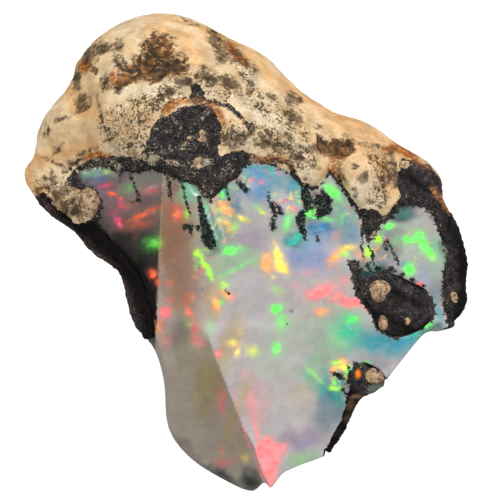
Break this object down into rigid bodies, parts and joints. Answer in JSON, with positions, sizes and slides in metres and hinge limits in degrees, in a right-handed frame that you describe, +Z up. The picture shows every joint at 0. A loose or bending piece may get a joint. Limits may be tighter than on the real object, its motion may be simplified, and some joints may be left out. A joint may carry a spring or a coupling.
{
  "type": "rough precious opal in host rock",
  "caption": "Rough precious opal: a broken nodule whose glassy opal filling shows a play of colour inside a pale, pitted rind of volcanic rock.",
  "frame": {"origin": "middle of the underside of the bounding box, on the surface that the stone lies on", "axes": "+Z up from the foot; +X to the right along the broken face; -Y towards the lower tip of the face"},
  "size_m": [0.0356, 0.0389, 0.0214],
  "materials": {
    "host_rock": "matt, grainy pale rock with dark specks, rusty stains and black crust beside the opal",
    "opal": "glassy broken surface, milky and translucent, with flashes of green, orange, red and blue"
  },
  "bodies": {
    "root": {"host_rock": "host_rock", "opal": "opal"}
  },
  "joints": []
}
